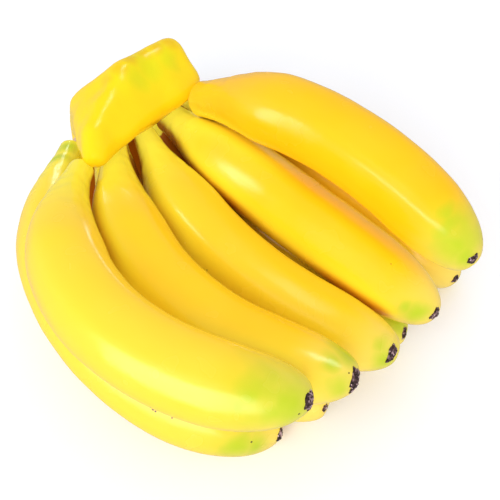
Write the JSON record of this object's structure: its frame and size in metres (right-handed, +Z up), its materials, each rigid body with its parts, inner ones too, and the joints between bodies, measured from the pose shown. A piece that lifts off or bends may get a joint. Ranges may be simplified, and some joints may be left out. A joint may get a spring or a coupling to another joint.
{
  "type": "artificial banana bunch",
  "caption": "Decorative bunch of curved yellow bananas in two fanned rows, pegged into a padded crown, lying on a table.",
  "frame": {"origin": "on the table under the middle of the bunch's box", "axes": "+X from the crown to the banana tips, +Y across the bunch, +Z up"},
  "size_m": [0.2394, 0.1988, 0.1176],
  "materials": {
    "skin": "glossy moulded yellow with a green tinge near the tips",
    "crown": "glossy moulded yellow",
    "dab": "rough dark brown",
    "peg": "bare pale wood"
  },
  "bodies": {
    "root": {"crown": "crown", "finger_upper_1": "skin", "dab_upper_1": "dab", "peg_upper_1": "peg", "finger_upper_2": "skin", "dab_upper_2": "dab", "peg_upper_2": "peg", "finger_upper_3": "skin", "dab_upper_3": "dab", "peg_upper_3": "peg", "finger_upper_4": "skin", "dab_upper_4": "dab", "peg_upper_4": "peg", "finger_upper_5": "skin", "dab_upper_5": "dab", "peg_upper_5": "peg", "finger_lower_1": "skin", "dab_lower_1": "dab", "peg_lower_1": "peg", "finger_lower_2": "skin", "dab_lower_2": "dab", "peg_lower_2": "peg", "finger_lower_3": "skin", "dab_lower_3": "dab", "peg_lower_3": "peg", "finger_lower_4": "skin", "dab_lower_4": "dab", "peg_lower_4": "peg"}
  },
  "joints": []
}
